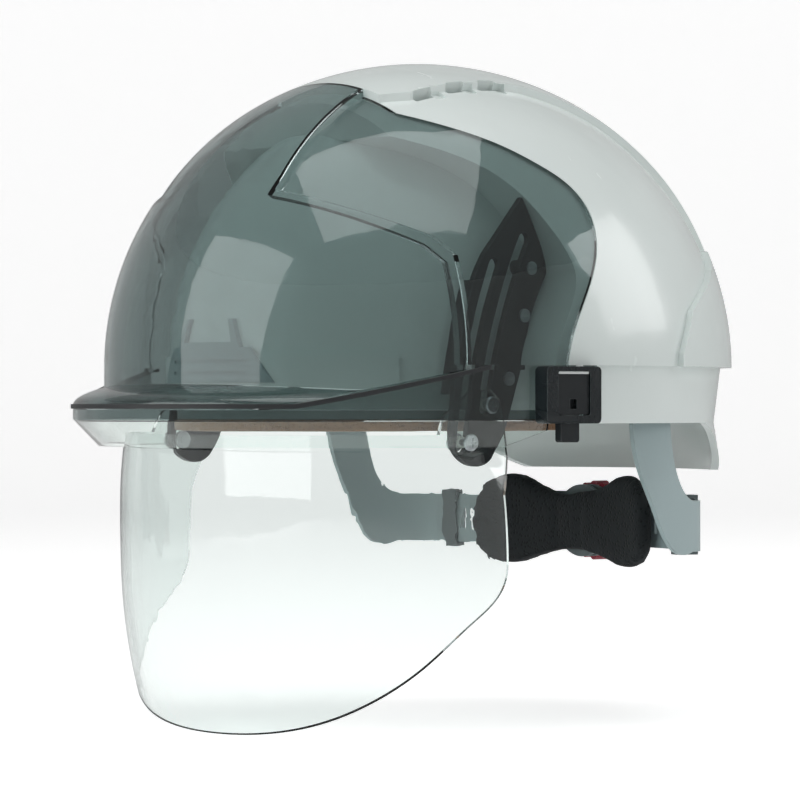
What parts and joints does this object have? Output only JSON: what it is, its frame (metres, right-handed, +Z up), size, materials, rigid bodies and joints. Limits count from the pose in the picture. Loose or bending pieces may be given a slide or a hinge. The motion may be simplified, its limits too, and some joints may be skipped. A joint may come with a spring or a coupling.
{
  "type": "hard hat",
  "caption": "Vented safety helmet with a smoke front cover, a clear face shield that swings up under the cover, and a ratchet nape strap.",
  "frame": {"origin": "middle of the head opening, on the lower edge of the headband", "axes": "+Z up, the face looks along -Y, the wearer's left is +X"},
  "size_m": [0.232, 0.2874, 0.2627],
  "materials": {
    "shell_white": "glossy",
    "smoke_clear": "glossy translucent",
    "lip_clear": "glossy clear",
    "trim_black": "glossy",
    "visor_clear": "optically clear",
    "guide_black": "satin",
    "screw_steel": "brushed",
    "bush_nylon": "satin",
    "bezel_smoke": "glossy translucent",
    "block_black": "satin",
    "clip_white": "glossy",
    "band_grey": "satin",
    "sweat_brown": "soft",
    "webbing_grey": "woven",
    "harness_grey": "satin",
    "rack_grey": "satin",
    "pad_black": "soft matte",
    "case_grey": "satin",
    "pinion_nylon": "satin",
    "knob_red": "satin"
  },
  "bodies": {
    "helmet": {"shell": "shell_white", "shell_skirt": "shell_white", "front_cover": "smoke_clear", "peak_lip": "lip_clear", "peak_trim": "trim_black", "guide_plate_left": "guide_black", "guide_plate_right": "guide_black", "guide_screws": "screw_steel", "slot_bezel_left": "bezel_smoke", "slot_bezel_right": "bezel_smoke", "slot_block_left": "block_black", "slot_block_right": "block_black", "slot_clips": "clip_white", "headband": "band_grey", "sweatband": "sweat_brown", "cradle_strap_1": "webbing_grey", "cradle_strap_2": "webbing_grey", "cradle_strap_3": "webbing_grey", "hanger_keys": "harness_grey", "brow_bracket": "harness_grey", "arm_pegs": "harness_grey"},
    "face_shield": {"visor": "visor_clear", "visor_screws": "screw_steel", "visor_bushes": "bush_nylon", "visor_nuts": "screw_steel"},
    "nape_band": {"side_arm_left": "harness_grey", "side_arm_right": "harness_grey", "strap_keeper_left": "harness_grey", "strap_keeper_right": "harness_grey", "nape_pad": "pad_black", "ratchet_case_front": "case_grey", "ratchet_case_back": "case_grey"},
    "rack_left": {"rack_strap_left": "rack_grey"},
    "rack_right": {"rack_strap_right": "rack_grey"},
    "knob": {"ratchet_knob": "knob_red", "pinion": "pinion_nylon", "click_spring": "screw_steel", "knob_screw": "screw_steel"}
  },
  "joints": [
    {"name": "visor_swing", "type": "hinge", "parent": "helmet", "child": "face_shield", "pos_m": [0, 0.1812, -0.026], "axis": [-1, 0, 0], "range_deg": [0, 16.8]},
    {"name": "nape_tilt", "type": "hinge", "parent": "helmet", "child": "nape_band", "pos_m": [0, 0.047, 0.013], "axis": [1, 0, 0], "range_deg": [-8, 10]},
    {"name": "knob_turn", "type": "hinge", "parent": "nape_band", "child": "knob", "pos_m": [0, 0.1, -0.038], "axis": [0, 1, 0], "range_deg": [-55, 55]},
    {"name": "rack_left_slide", "type": "hinge", "parent": "nape_band", "child": "rack_left", "pos_m": [0, -0.086, -0.038], "axis": [0, 0, 1], "range_deg": [-2, 2]},
    {"name": "rack_right_slide", "type": "hinge", "parent": "nape_band", "child": "rack_right", "pos_m": [0, -0.086, -0.038], "axis": [0, 0, 1], "range_deg": [-2, 2]}
  ],
  "couplings": [
    {"joint": "rack_left_slide", "follows": "knob_turn", "ratio": -0.03252},
    {"joint": "rack_right_slide", "follows": "knob_turn", "ratio": 0.03252}
  ]
}
